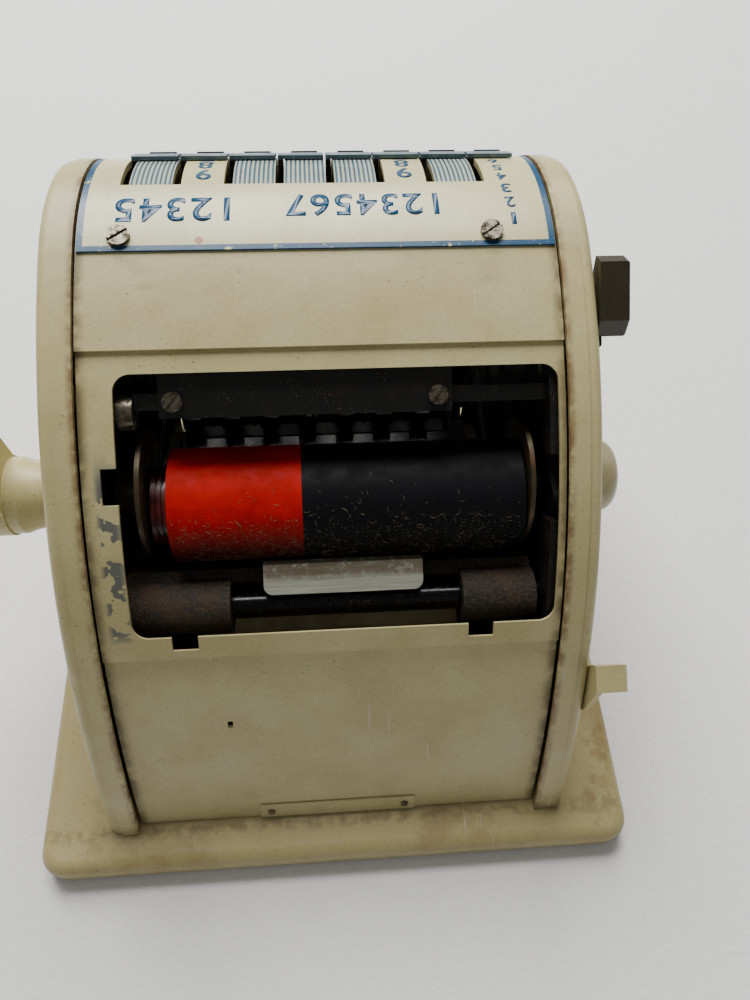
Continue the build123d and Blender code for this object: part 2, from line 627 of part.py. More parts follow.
# ---------------------------------------------------------------- levers and type sectors
HEAD_GAP = 0.4
HEAD_THICKNESS = 1.2
HEAD_REAR = LEVER_SLOPE + 6.0
HEAD_FRONT = LEVER_SLOPE - 6.0
RIDGE_HEIGHT = 0.5
RIDGE_WIDTH = 9.0
HEAD_SPAN = SLOT_PITCH - 0.8
HUB_RADIUS = 9.0
HUB_WIDTH = SLOT_PITCH - 2.0
TYPE_WIDTH = 8.0
TYPE_HEIGHT = 6.0
TYPE_FIRST = -104.0
TYPE_LAST = -184.0


def lever_stamping(x):
    """One lever: a flat arm on the shaft, turned over at the top into a broad head beside its slot."""
    half = LEVER_THICKNESS / 2
    head_inner = CREST_RADIUS + HEAD_GAP
    head_outer = head_inner + HEAD_THICKNESS
    with BuildPart(mode=Mode.PRIVATE) as stamping:
        arm = arc_band(CREST, head_outer, HUB_RADIUS - 2.0, HEAD_REAR, HEAD_FRONT, x - half)
        extrude(arm, amount=LEVER_THICKNESS)
        extrude(side_disc(SHAFT_Y, SHAFT_Z, HUB_RADIUS, x - half), amount=LEVER_THICKNESS)
        head = arc_band(CREST, head_outer, head_inner, HEAD_REAR, HEAD_FRONT, x + half - HEAD_SPAN)
        extrude(head, amount=HEAD_SPAN)
        ridge = arc_band(CREST, head_outer + RIDGE_HEIGHT, head_outer, HEAD_FRONT + 2.2, HEAD_FRONT,
                         x - SLOT_PITCH / 2 - RIDGE_WIDTH / 2)
        extrude(ridge, amount=RIDGE_WIDTH)
        bore = side_disc(SHAFT_Y, SHAFT_Z, LEVER_SHAFT_RADIUS + RUNNING_GAP, x - half)
        extrude(bore, amount=LEVER_THICKNESS, mode=Mode.SUBTRACT)
    return stamping.part


for slot in range(1, SLOTS):
    x = slot_centre(slot)
    save(lever_stamping(x), f"setting_lever_{slot}")
    hub_face = x - LEVER_THICKNESS / 2
    with BuildPart() as type_sector:
        fan = arc_band(CREST, TYPE_RADIUS - TYPE_HEIGHT + 1.0, HUB_RADIUS - 2.0, TYPE_FIRST, TYPE_LAST, hub_face)
        extrude(fan, amount=-LEVER_THICKNESS)
        type_strip = arc_band(CREST, TYPE_RADIUS, TYPE_RADIUS - TYPE_HEIGHT, TYPE_FIRST, TYPE_LAST, hub_face)
        extrude(type_strip, amount=-TYPE_WIDTH)
        extrude(side_disc(SHAFT_Y, SHAFT_Z, HUB_RADIUS, hub_face), amount=-HUB_WIDTH + LEVER_THICKNESS)
        bore = side_disc(SHAFT_Y, SHAFT_Z, LEVER_SHAFT_RADIUS + RUNNING_GAP, hub_face)
        extrude(bore, amount=-HUB_WIDTH, mode=Mode.SUBTRACT)
    save(type_sector.part, f"type_sector_{slot}")

save(lever_stamping(slot_centre(SLOTS)), "lock_lever")

# ---------------------------------------------------------------- ink carrier and roll
SPINDLE_RADIUS = 3.0
CORE_RADIUS = 13.5
COLLAR_RADIUS = 12.0
COLLAR_TEETH = 38
COLLAR_TOOTH_RADIUS = 0.45
COLLAR_LENGTH = 2.2
DISC_LEFT = ROLL_LEFT - 0.8
DISC_RIGHT = ROLL_RIGHT + 7.0
CORE_END = ROLL_RIGHT + 5.8
CORE_GROOVE = 0.9

with BuildPart() as ink_disc_right:
    extrude(side_disc(CARRIER_Y, CARRIER_Z, DISC_RADIUS, DISC_RIGHT), amount=DISC_THICKNESS)
    add(crossbar(CARRIER_Y, CARRIER_Z, CARRIER_JOURNAL, DISC_RIGHT + DISC_THICKNESS, FRAME_OUTER))
    add(crossbar(CARRIER_Y, CARRIER_Z, 8.0, DISC_RIGHT + DISC_THICKNESS, FRAME_INNER - 1.0))
    extrude(side_disc(ROLL_Y, ROLL_Z, SPINDLE_RADIUS, DISC_RIGHT), amount=DISC_THICKNESS, mode=Mode.SUBTRACT)
save(ink_disc_right.part, "ink_disc_right")

with BuildPart() as ink_disc_left:
    extrude(side_disc(CARRIER_Y, CARRIER_Z, DISC_RADIUS, DISC_LEFT), amount=-DISC_THICKNESS)
    with BuildSketch(Plane.YZ.offset(DISC_LEFT - DISC_THICKNESS)):
        with Locations((CARRIER_Y, CARRIER_Z)):
            Circle(COLLAR_RADIUS)
            with PolarLocations(COLLAR_RADIUS, COLLAR_TEETH):
                Circle(COLLAR_TOOTH_RADIUS, mode=Mode.SUBTRACT)
    extrude(amount=-COLLAR_LENGTH)
    add(crossbar(CARRIER_Y, CARRIER_Z, CARRIER_JOURNAL, -COVER_OUTER - 0.6, DISC_LEFT - DISC_THICKNESS))
    extrude(side_disc(ROLL_Y, ROLL_Z, SPINDLE_RADIUS, DISC_LEFT), amount=-DISC_THICKNESS, mode=Mode.SUBTRACT)
save(ink_disc_left.part, "ink_disc_left")

with BuildPart() as ink_spindle:
    add(crossbar(ROLL_Y, ROLL_Z, SPINDLE_RADIUS, DISC_LEFT - DISC_THICKNESS, DISC_RIGHT + DISC_THICKNESS))
save(ink_spindle.part, "ink_spindle")

with BuildPart() as ink_knob:
    with BuildSketch(Plane.YZ.offset(-COVER_OUTER - 0.6)):
        with Locations((CARRIER_Y, CARRIER_Z)):
            Circle(KNOB_RADIUS)
    extrude(amount=-KNOB_LENGTH)
    fillet(ink_knob.faces().sort_by(Axis.X)[0].edges(), KNOB_DOME)
    with BuildSketch(Plane.YZ.offset(-COVER_OUTER - 0.6)):
        with Locations((CARRIER_Y, CARRIER_Z)):
            with PolarLocations(KNOB_RADIUS + 0.15, 30):
                Circle(0.55)
    extrude(amount=-2.6, mode=Mode.SUBTRACT)
save(ink_knob.part, "ink_knob")

with BuildPart() as ink_roll_core:
    extrude(side_disc(ROLL_Y, ROLL_Z, CORE_RADIUS, ROLL_LEFT), amount=CORE_END - ROLL_LEFT)
    for x in (ROLL_RIGHT + 1.7, ROLL_RIGHT + 3.5):
        with BuildSketch(Plane.YZ.offset(x)):
            with Locations((ROLL_Y, ROLL_Z)):
                Circle(CORE_RADIUS)
                Circle(CORE_RADIUS - CORE_GROOVE, mode=Mode.SUBTRACT)
        extrude(amount=CORE_GROOVE, mode=Mode.SUBTRACT)
    core_bore = side_disc(ROLL_Y, ROLL_Z, SPINDLE_RADIUS + RUNNING_GAP, ROLL_LEFT)
    extrude(core_bore, amount=CORE_END - ROLL_LEFT, mode=Mode.SUBTRACT)
save(ink_roll_core.part, "ink_roll_core")

for name, x_from, x_to in (
    ("ink_sleeve_red", ROLL_COLOUR_SPLIT, ROLL_RIGHT),
    ("ink_sleeve_black", ROLL_LEFT, ROLL_COLOUR_SPLIT),
):
    with BuildPart() as sleeve:
        with BuildSketch(Plane.YZ.offset(x_from)):
            with Locations((ROLL_Y, ROLL_Z)):
                Circle(ROLL_RADIUS)
                Circle(CORE_RADIUS, mode=Mode.SUBTRACT)
        extrude(amount=x_to - x_from)
    save(sleeve.part, name)

# ---------------------------------------------------------------- rocker
RIGHT_BOSS = (32.7, 66.4)
LEFT_BOSS = (-66.4, -42.3)
ARM_THICKNESS = 5.0
PLATEN_TOP = TABLE_TOP - 2.6
PLATEN_HEIGHT = 5.0
CARRY_Z = PLATEN_TOP - PLATEN_HEIGHT

with BuildPart() as rocker_rod:
    add(crossbar(ROD_Y, ROD_Z, ROD_RADIUS, -FRAME_OUTER - 1.0, FRAME_OUTER + 5.0))
save(rocker_rod.part, "rocker_rod")

with BuildPart() as rocker_casting:
    for x_from, x_to in (RIGHT_BOSS, LEFT_BOSS):
        extrude(side_disc(ROD_Y, ROD_Z, BOSS_RADIUS, x_from), amount=x_to - x_from)
    with BuildSketch(Plane.YZ.offset(LEFT_BOSS[0])):
        with BuildLine():
            Polyline((53.0, 90.6), (46.0, 92.4), (43.0, 86.5), (14.0, 72.0), (14.0, 67.0), (48.0, 79.0), (56.0, 80.5),
                     close=True)
        make_face()
    extrude(amount=RIGHT_BOSS[1] - LEFT_BOSS[0])
    clear_rod = side_disc(ROD_Y, ROD_Z, ROD_RADIUS + 3.0, LEFT_BOSS[1])
    extrude(clear_rod, amount=RIGHT_BOSS[0] - LEFT_BOSS[1], mode=Mode.SUBTRACT)
    for x_from in (RIGHT_BOSS[1] - ARM_THICKNESS, LEFT_BOSS[0]):
        with BuildSketch(Plane.YZ.offset(x_from)):
            with BuildLine():
                Polyline((20.0, 76.0), (SHAFT_Y - 4.0, CARRY_Z), (SHAFT_Y - 4.0, CARRY_Z - 7.0), (24.0, 66.0),
                         (30.0, 74.0), close=True)
            make_face()
        extrude(amount=ARM_THICKNESS)
    with BuildSketch(Plane.YZ.offset(LEFT_BOSS[0])):
        with Locations((SHAFT_Y, CARRY_Z - 3.5)):
            Rectangle(8.0, 7.0)
    extrude(amount=RIGHT_BOSS[1] - LEFT_BOSS[0])
    for x_from, x_to in (RIGHT_BOSS, LEFT_BOSS):
        extrude(side_disc(ROD_Y, ROD_Z, ROD_RADIUS, x_from), amount=x_to - x_from, mode=Mode.SUBTRACT)
save(rocker_casting.part, "rocker_casting")

with BuildPart() as platen_bar:
    with BuildSketch(Plane.YZ.offset(SLOTS_CENTRE - PLATEN_HALF + 2.0)):
        with Locations((SHAFT_Y, CARRY_Z + PLATEN_HEIGHT / 2)):
            Rectangle(PLATEN_WIDTH, PLATEN_HEIGHT)
    extrude(amount=2 * PLATEN_HALF - 4.0)
save(platen_bar.part, "platen_bar")

with BuildPart() as lift_tab:
    with BuildSketch(Plane.YZ.offset(-29.6)):
        with BuildLine():
            Polyline((56.8, 93.6), (48.6, 98.8), (46.2, 97.2), (46.2, 92.4), (47.2, 92.2), (47.2, 96.6), (48.7, 97.6),
                     (56.2, 92.8), close=True)
        make_face()
    extrude(amount=51.6)
    lower_corners = lift_tab.edges().filter_by(lambda e: e.center().Y > 56.3 and e.length < 2.0)
    fillet(lower_corners, 3.0)
save(lift_tab.part, "lift_tab")

# ---------------------------------------------------------------- handle
with BuildPart() as handle_hub:
    with BuildSketch(Plane(origin=(0, HANDLE_Y, HANDLE_Z), x_dir=(1, 0, 0), z_dir=(0, -1, 0))):
        with BuildLine():
            hub_start = COVER_OUTER + 0.5
            Line((hub_start, 0), (hub_start, HANDLE_NECK_START))
            ThreePointArc((hub_start, HANDLE_NECK_START), (hub_start + 8.5, HANDLE_NECK_WAIST),
                          (HANDLE_HUB_END - HANDLE_RING, HANDLE_HUB_RADIUS))
            Line((HANDLE_HUB_END - HANDLE_RING, HANDLE_HUB_RADIUS), (HANDLE_HUB_END, HANDLE_HUB_RADIUS))
            Line((HANDLE_HUB_END, HANDLE_HUB_RADIUS), (HANDLE_HUB_END, 0))
            Line((HANDLE_HUB_END, 0), (hub_start, 0))
        make_face()
    revolve(axis=Axis((0, HANDLE_Y, HANDLE_Z), (1, 0, 0)))
    add(crossbar(HANDLE_Y, HANDLE_Z, STUB_RADIUS, FRAME_INNER - 2.0, hub_start))
save(handle_hub.part, "handle_hub")

HANDLE_LEAN = 4.0

with BuildPart() as handle_arm:
    tip_y = HANDLE_Y + HANDLE_LENGTH * sin(radians(HANDLE_LEAN))
    tip_z = HANDLE_Z + HANDLE_LENGTH * cos(radians(HANDLE_LEAN))
    with BuildSketch(Plane.YZ.offset(HANDLE_HUB_END)):
        with Locations((HANDLE_Y, HANDLE_Z)):
            Circle(HANDLE_HUB_RADIUS + 0.6)
        with BuildLine():
            Polyline((HANDLE_Y - 12.0, HANDLE_Z + 2.0), (tip_y - 8.5, tip_z), (tip_y + 8.5, tip_z),
                     (HANDLE_Y + 12.0, HANDLE_Z + 2.0), close=True)
        make_face()
        with Locations((tip_y, tip_z)):
            Circle(8.5)
    extrude(amount=HANDLE_ARM_THICKNESS)
    fillet(handle_arm.faces().sort_by(Axis.X)[-1].edges(), 2.6)
save(handle_arm.part, "handle_arm")

with BuildPart() as handle_grip:
    grip_x = HANDLE_HUB_END + HANDLE_ARM_THICKNESS
    with BuildSketch(Plane.YZ.offset(grip_x)):
        with Locations((tip_y - 1.5, tip_z - 8.0)):
            SlotCenterToCenter(30.0, 24.0, rotation=90.0 - HANDLE_LEAN)
    extrude(amount=11.0)
    fillet(handle_grip.faces().sort_by(Axis.X)[-1].edges(), 5.0)
save(handle_grip.part, "handle_grip")

CRANK_INNER = FRAME_OUTER + 2.6
CRANK_LENGTH = 14.0

with BuildPart() as handle_crank:
    with BuildSketch(Plane.YZ.offset(CRANK_INNER)):
        with Locations((HANDLE_Y, HANDLE_Z)):
            Circle(10.0)
        with Locations((HANDLE_Y + CRANK_LENGTH / 2, HANDLE_Z - CRANK_LENGTH / 2)):
            SlotCenterToCenter(CRANK_LENGTH, 9.0, rotation=-45.0)
        with Locations((HANDLE_Y, HANDLE_Z)):
            Circle(STUB_RADIUS, mode=Mode.SUBTRACT)
    extrude(amount=3.0)
save(handle_crank.part, "handle_crank")

with BuildPart() as rocker_crank:
    with BuildSketch(Plane.YZ.offset(FRAME_OUTER + 1.0)):
        with Locations((ROD_Y, ROD_Z)):
            Circle(8.0)
        with Locations((ROD_Y - 8.0, ROD_Z - 8.0)):
            SlotCenterToCenter(18.0, 8.0, rotation=45.0)
        with Locations((ROD_Y, ROD_Z)):
            Circle(ROD_RADIUS, mode=Mode.SUBTRACT)
    extrude(amount=3.0)
save(rocker_crank.part, "rocker_crank")

# ---------------------------------------------------------------- repeat and release levers
REPEAT_Y = -22.0
REPEAT_Z = 112.0
LEVER_PLATE = 1.8
LEVER_SIDE = -COVER_OUTER - 0.4
PIVOT_RADIUS = 2.4

with BuildPart() as repeat_lever:
    with BuildSketch(Plane.YZ.offset(LEVER_SIDE)):
        with BuildLine():
            Polyline((REPEAT_Y - 6.0, REPEAT_Z), (-8.0, 150.0), (-1.0, 147.6), (1.2, 146.0),
                     (REPEAT_Y + 6.0, REPEAT_Z), close=True)
        make_face()
        with Locations((REPEAT_Y, REPEAT_Z)):
            Circle(6.0)
            Circle(PIVOT_RADIUS + RUNNING_GAP, mode=Mode.SUBTRACT)
    extrude(amount=-LEVER_PLATE)
save(repeat_lever.part, "repeat_lever")

with BuildPart() as repeat_paddle:
    with BuildSketch(Plane.YZ.offset(LEVER_SIDE)):
        with BuildLine():
            Polyline((-20.5, 162.4), (-16.0, 164.2), (-2.0, 153.4), (-1.0, 147.6), (-8.0, 150.0), (-19.0, 158.0),
                     close=True)
        make_face()
    extrude(amount=-9.6)
    fillet(repeat_paddle.faces().sort_by(Axis.X)[0].edges(), 1.2)
save(repeat_paddle.part, "repeat_paddle")

RELEASE_Y = 78.0
RELEASE_Z = 46.0
RELEASE_TAB_LENGTH = 10.2

with BuildPart() as release_lever:
    with BuildSketch(Plane.YZ.offset(LEVER_SIDE)):
        with BuildLine():
            Polyline((RELEASE_Y - 6.0, RELEASE_Z + 1.0), (81.0, 80.6), (82.4, 83.2), (90.0, 78.6), (90.4, 62.0),
                     (RELEASE_Y + 6.0, RELEASE_Z - 1.0), close=True)
        make_face()
        with Locations((RELEASE_Y, RELEASE_Z)):
            Circle(6.0)
            Circle(PIVOT_RADIUS + RUNNING_GAP, mode=Mode.SUBTRACT)
    extrude(amount=-LEVER_PLATE)
    with BuildSketch(Plane.YZ.offset(LEVER_SIDE)):
        with BuildLine():
            Polyline((82.4, 83.2), (90.0, 78.6), (88.6, 76.0), (81.0, 80.6), close=True)
        make_face()
    extrude(amount=-RELEASE_TAB_LENGTH)
    tab_corners = release_lever.faces().sort_by(Axis.X)[0].edges().filter_by(lambda e: e.length < 3.5)
    fillet(tab_corners, 0.6)
save(release_lever.part, "release_lever")

with BuildPart() as side_pivot_screws:
    for y, z in ((REPEAT_Y, REPEAT_Z), (RELEASE_Y, RELEASE_Z)):
        extrude(side_disc(y, z, PIVOT_RADIUS, -COVER_OUTER), amount=-LEVER_PLATE - 0.8)
        extrude(side_disc(y, z, 4.2, LEVER_SIDE - LEVER_PLATE - 0.4), amount=-1.4)
save(side_pivot_screws.part, "side_pivot_screws")
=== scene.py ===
"""Looks of a lever-set cheque writer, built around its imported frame.

Metres, +Z up, the front and its operator towards -Y. Every finish is a node material worked out from
Object coordinates.
"""

import json
from math import cos, pi, radians, sin

import bmesh
import bpy
import numpy as np
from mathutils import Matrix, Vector


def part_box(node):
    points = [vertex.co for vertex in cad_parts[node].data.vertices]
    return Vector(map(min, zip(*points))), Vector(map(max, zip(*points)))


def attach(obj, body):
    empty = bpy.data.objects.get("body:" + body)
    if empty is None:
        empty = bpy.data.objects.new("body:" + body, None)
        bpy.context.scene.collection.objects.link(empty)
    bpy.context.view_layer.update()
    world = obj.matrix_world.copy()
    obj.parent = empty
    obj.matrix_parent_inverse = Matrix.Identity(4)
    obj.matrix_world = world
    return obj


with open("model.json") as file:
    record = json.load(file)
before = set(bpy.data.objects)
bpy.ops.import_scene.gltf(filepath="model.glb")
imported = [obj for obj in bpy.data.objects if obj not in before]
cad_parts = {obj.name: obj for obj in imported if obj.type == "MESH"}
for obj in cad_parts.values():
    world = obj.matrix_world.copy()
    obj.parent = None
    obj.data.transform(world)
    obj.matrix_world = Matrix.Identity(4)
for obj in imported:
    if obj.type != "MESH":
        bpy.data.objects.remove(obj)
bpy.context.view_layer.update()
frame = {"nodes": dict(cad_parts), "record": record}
NODES = frame["nodes"]
MM = 0.001

# ------------------------------------------------------------------ places read from the frame
PLATE_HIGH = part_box("index_plate")[1]
SHAFT_LOW, SHAFT_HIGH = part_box("lever_shaft")
SHAFT_Y = (SHAFT_LOW.y + SHAFT_HIGH.y) / 2
SHAFT_Z = (SHAFT_LOW.z + SHAFT_HIGH.z) / 2
CREST_RADIUS = PLATE_HIGH.z - SHAFT_Z
PLATE_HALF = PLATE_HIGH.x
PLATE_REAR_SLOPE = 18.0
SLOT_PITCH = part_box("setting_lever_1")[1].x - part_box("setting_lever_2")[1].x
FIRST_SLOT_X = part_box("setting_lever_1")[1].x - 0.8 * MM
TONGUES = 7
SLOT_REAR_SLOPE = -7.0
FIGURED_TONGUES = (2, 6)
ROLL_LOW, ROLL_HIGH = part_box("ink_sleeve_red")
BLACK_LOW, BLACK_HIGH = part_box("ink_sleeve_black")
ROLL_Y = (ROLL_LOW.y + ROLL_HIGH.y) / 2
ROLL_Z = (ROLL_LOW.z + ROLL_HIGH.z) / 2
ROLL_RADIUS = (ROLL_HIGH.z - ROLL_LOW.z) / 2


# ------------------------------------------------------------------ shader sums
class Value:
    """A number socket of a material, so that sums on it read as sums."""

    def __init__(self, finish, socket):
        self.finish = finish
        self.socket = socket

    def _sum(self, operation, *values):
        return self.finish.number("ShaderNodeMath", {"operation": operation}, *values)

    def __add__(self, other):
        return self._sum("ADD", self, other)

    def __sub__(self, other):
        return self._sum("SUBTRACT", self, other)

    def __rsub__(self, other):
        return self._sum("SUBTRACT", other, self)

    def __mul__(self, other):
        return self._sum("MULTIPLY", self, other)

    def __truediv__(self, other):
        return self._sum("DIVIDE", self, other)

    __radd__ = __add__
    __rmul__ = __mul__

    def above(self, limit):
        """1 where the value is over the limit, else 0."""
        return self._sum("GREATER_THAN", self, limit)

    def below(self, limit):
        """1 where the value is under the limit, else 0."""
        return self._sum("LESS_THAN", self, limit)

    def rise(self, low, high, start=0.0, end=1.0):
        """Smooth step from start to end as the value goes from low to high."""
        settings = {"interpolation_type": "SMOOTHSTEP"}
        return self.finish.number("ShaderNodeMapRange", settings, self, low, high, start, end)

    def size(self):
        return self._sum("ABSOLUTE", self)

    def fraction(self):
        return self._sum("FRACT", self)

    def greatest(self, other):
        return self._sum("MAXIMUM", self, other)

    def clamped(self):
        return self.finish.number("ShaderNodeClamp", {}, self)


class Finish:
    """A node material with one Principled shader, read in Object coordinates."""

    def __init__(self, name):
        self.material = bpy.data.materials.new(name)
        self.material.use_nodes = True
        self.tree = self.material.node_tree
        self.tree.nodes.clear()
        self.shader = self.tree.nodes.new("ShaderNodeBsdfPrincipled")
        output = self.tree.nodes.new("ShaderNodeOutputMaterial")
        self.tree.links.new(self.shader.outputs[0], output.inputs[0])
        self.place = self.tree.nodes.new("ShaderNodeTexCoord").outputs["Object"]
        axes = self.node("ShaderNodeSeparateXYZ", {}, self.place).outputs
        self.x, self.y, self.z = (Value(self, axis) for axis in axes)

    def node(self, kind, settings, *sockets, **named):
        """A node of a kind: its settings first, then the values or links of its sockets."""
        made = self.tree.nodes.new(kind)
        for key, setting in settings.items():
            setattr(made, key, setting)
        for key, value in [*enumerate(sockets), *named.items()]:
            if isinstance(key, str):
                key = key.replace("_", " ")
            self.feed(made.inputs[key], value)
        return made

    def feed(self, entry, value):
        if isinstance(value, Value):
            value = value.socket
        if isinstance(value, bpy.types.NodeSocket):
            self.tree.links.new(value, entry)
        elif value is not None:
            entry.default_value = value

    def number(self, kind, settings, *sockets):
        return Value(self, self.node(kind, settings, *sockets).outputs[0])

    def stretched(self, scale, turn=(0.0, 0.0, 0.0)):
        """The place scaled by three factors and turned, for grain that runs one way."""
        made = self.node("ShaderNodeMapping", {}, self.place, None, turn, scale)
        return made.outputs[0]

    def cloud(self, scale, detail=4.0, rough=0.6, place=None):
        """Noise from 0 to 1 with a given number of features per metre."""
        made = self.node("ShaderNodeTexNoise", {}, Vector=place or self.place, Scale=scale, Detail=detail,
                         Roughness=rough)
        return Value(self, made.outputs[0])

    def dots(self, scale, spread=1.0):
        """Distance to the nearest of many scattered points, in units of their spacing."""
        made = self.node("ShaderNodeTexVoronoi", {}, Vector=self.place, Scale=scale, Randomness=spread)
        return Value(self, made.outputs["Distance"])

    def blend(self, low, high, amount):
        """Colour between low and high."""
        made = self.node("ShaderNodeMix", {"data_type": "RGBA"})
        self.feed(made.inputs[0], amount)
        for entry, colour in ((made.inputs[6], low), (made.inputs[7], high)):
            if isinstance(colour, tuple):
                colour = (*colour, 1.0)
            self.feed(entry, colour)
        return made.outputs[2]

    def relief(self, height, distance, strength=1.0):
        """Bump from a height from 0 to 1, worth a distance in metres."""
        made = self.node("ShaderNodeBump", {}, Strength=strength, Distance=distance, Height=height)
        self.feed(self.shader.inputs["Normal"], made.outputs[0])

    def set(self, **sockets):
        for key, value in sockets.items():
            self.feed(self.shader.inputs[key.replace("_", " ")], value)
        return self.material

    def slope(self):
        """Slope of the crest surface in degrees: 0 at the top, positive towards the rear."""
        turn = self.number("ShaderNodeMath", {"operation": "ARCTAN2"}, self.y - SHAFT_Y, self.z - SHAFT_Z)
        return turn * (180.0 / pi)


def srgb(red, green, blue):
    """Linear colour from 0-255 display values."""
    def linear(value):
        value /= 255.0
        return value / 12.92 if value <= 0.04045 else ((value + 0.055) / 1.055) ** 2.4
    return (linear(red), linear(green), linear(blue))


# ------------------------------------------------------------------ finishes
CREAM = srgb(198, 188, 138)
CREAM_SHADE = srgb(180, 166, 114)
GRIME = srgb(92, 76, 50)
RUST = srgb(104, 58, 28)
PRIMER = srgb(104, 106, 98)
PRINT_BLUE = srgb(22, 76, 112)
PALE_LINE = srgb(178, 184, 168)


def grimy(finish, colour, specks=1.0, worn=0.0):
    """Old enamel: soft yellow mottling, fine dark specks, hairline scratches and smears of handling dirt."""
    mottle = finish.cloud(38.0, 5.0, 0.62).rise(0.35, 0.68)
    colour = finish.blend(colour, CREAM_SHADE, mottle * (0.55 + worn))
    fine = finish.cloud(900.0, 3.0, 0.7).rise(0.45, 0.72)
    colour = finish.blend(colour, GRIME, fine * 0.16)
    smear = finish.cloud(1.0, 5.0, 0.7, finish.stretched((26.0, 60.0, 60.0))).rise(0.56, 0.76)
    patch = finish.cloud(14.0, 2.0, 0.5).rise(0.48, 0.62)
    colour = finish.blend(colour, GRIME, smear * patch * (0.34 + worn))
    small = finish.dots(420.0).below(0.10) * finish.cloud(60.0, 2.0).rise(0.50, 0.64)
    colour = finish.blend(colour, srgb(60, 46, 30), small * (0.8 * specks))
    hairs = finish.cloud(1.0, 3.0, 0.5, finish.stretched((700.0, 28.0, 40.0), (0.0, 0.4, 0.5)))
    lines = hairs.rise(0.69, 0.72) * finish.cloud(22.0, 2.0).rise(0.5, 0.6)
    return finish.blend(colour, srgb(214, 208, 184), lines * 0.5)


def enamel_relief(finish):
    """Slight waviness of sprayed enamel and the grit in it."""
    finish.relief(finish.cloud(260.0, 3.0, 0.6) * 0.7 + finish.cloud(1500.0, 2.0) * 0.3, 0.00012, 0.55)


def cover_enamel(name="cover_enamel"):
    """Cream side shells, with rust and oil creeping out of the gap beside the panels."""
    finish = Finish(name)
    colour = grimy(finish, CREAM)
    gap = 1 - (finish.x.size() - 0.0732).rise(0.0, 0.0026)
    creep = finish.cloud(170.0, 4.0, 0.7).rise(0.30, 0.62)
    colour = finish.blend(colour, RUST, gap * creep * 0.75)
    low = 1 - finish.z.rise(0.014, 0.026)
    colour = finish.blend(colour, GRIME, low * finish.cloud(120.0, 4.0).rise(0.35, 0.65) * 0.6)
    enamel_relief(finish)
    rough = finish.cloud(50.0, 3.0).rise(0.3, 0.7, 0.34, 0.52)
    return finish.set(Base_Color=colour, Roughness=rough, Specular_IOR_Level=0.45)


def panel_enamel(name="panel_enamel"):
    """Cream sheet panels: dirt along the side gaps, chips to grey primer by the window."""
    finish = Finish(name)
    colour = grimy(finish, CREAM, 1.0, 0.06)
    side = finish.x.size().rise(0.0688, 0.0726)
    colour = finish.blend(colour, GRIME, side * finish.cloud(150.0, 4.0).rise(0.25, 0.6) * 0.8)
    rim = finish.x.rise(0.0605, 0.0640) * (1 - finish.x.rise(0.0675, 0.0700))
    upright = finish.z.rise(0.090, 0.096) * (1 - finish.z.rise(0.128, 0.136))
    flaking = finish.cloud(115.0, 3.0, 0.55).rise(0.515, 0.530) * rim * upright
    colour = finish.blend(colour, PRIMER, flaking)
    height = (finish.cloud(260.0, 3.0) * 0.7) * (1 - flaking * 0.6)
    finish.relief(height, 0.00014, 0.6)
    rough = finish.cloud(44.0, 3.0).rise(0.3, 0.7, 0.36, 0.55)
    return finish.set(Base_Color=colour, Roughness=rough, Specular_IOR_Level=0.45)


def base_enamel(name="base_enamel"):
    """Base casting: yellower, darker brown in a band along the foot of the body, and stains on the deck."""
    finish = Finish(name)
    colour = grimy(finish, srgb(180, 166, 118), 1.0, 0.12)
    stain = finish.cloud(24.0, 5.0, 0.72).rise(0.50, 0.70)
    colour = finish.blend(colour, srgb(134, 104, 62), stain * 0.45)
    # A darker brown band along the foot of the body, broken up by noise.
    foot = (1 - finish.y.rise(0.1122, 0.1165)) * finish.y.rise(0.1085, 0.1122)
    colour = finish.blend(colour, srgb(96, 74, 44), foot * finish.cloud(230.0, 4.0).rise(0.4, 0.62) * 0.45)
    left = (1 - finish.x.rise(-0.098, -0.084)) * finish.cloud(70.0, 5.0, 0.75).rise(0.46, 0.66)
    colour = finish.blend(colour, srgb(124, 92, 52), left * 0.55)
    enamel_relief(finish)
    rough = finish.cloud(60.0, 3.0).rise(0.3, 0.7, 0.38, 0.6)
    return finish.set(Base_Color=colour, Roughness=rough, Specular_IOR_Level=0.4)


def index_enamel(name="index_enamel"):
    """Printed index plate: cream, blue border on three sides, fine blue lines on five of seven tongues."""
    finish = Finish(name)
    colour = grimy(finish, srgb(216, 209, 158), 0.45, -0.3)
    slope = finish.slope()
    across = (finish.x * -1.0 + FIRST_SLOT_X) / SLOT_PITCH
    tongue = across.fraction()
    inside = across.above(0.0) * across.below(float(TONGUES))
    plain = 0.0
    for index in FIGURED_TONGUES:
        here = across.above(index - 1.0) * across.below(float(index))
        plain = here + plain
    ruled = inside * (1 - plain) * slope.below(SLOT_REAR_SLOPE)
    lines = 9.0
    line = ((tongue - 0.0875) * (lines / 0.825)).fraction()
    stripe = ((line - 0.5).size()).below(0.24)
    colour = finish.blend(colour, PALE_LINE, ruled)
    wear = 1 - finish.cloud(700.0, 3.0).rise(0.66, 0.72) * 0.6
    colour = finish.blend(colour, srgb(62, 90, 102), ruled * stripe * wear)
    border = finish.x.size().above(PLATE_HALF - 0.0019).greatest(slope.above(PLATE_REAR_SLOPE - 1.6))
    scuffs = 1 - finish.cloud(420.0, 4.0, 0.7).rise(0.60, 0.64) * finish.cloud(90.0, 2.0).rise(0.5, 0.55)
    colour = finish.blend(colour, PRINT_BLUE, border * scuffs)
    spot_x = finish.x - 0.0361
    spot_y = finish.y + 0.0276
    spot = (spot_x * spot_x + spot_y * spot_y).below(0.0013 ** 2)
    colour = finish.blend(colour, srgb(168, 108, 58), spot)
    finish.relief(finish.cloud(300.0, 3.0), 0.00008, 0.5)
    rough = finish.cloud(60.0, 3.0).rise(0.3, 0.7, 0.26, 0.40)
    return finish.set(Base_Color=colour, Roughness=rough, Specular_IOR_Level=0.5)


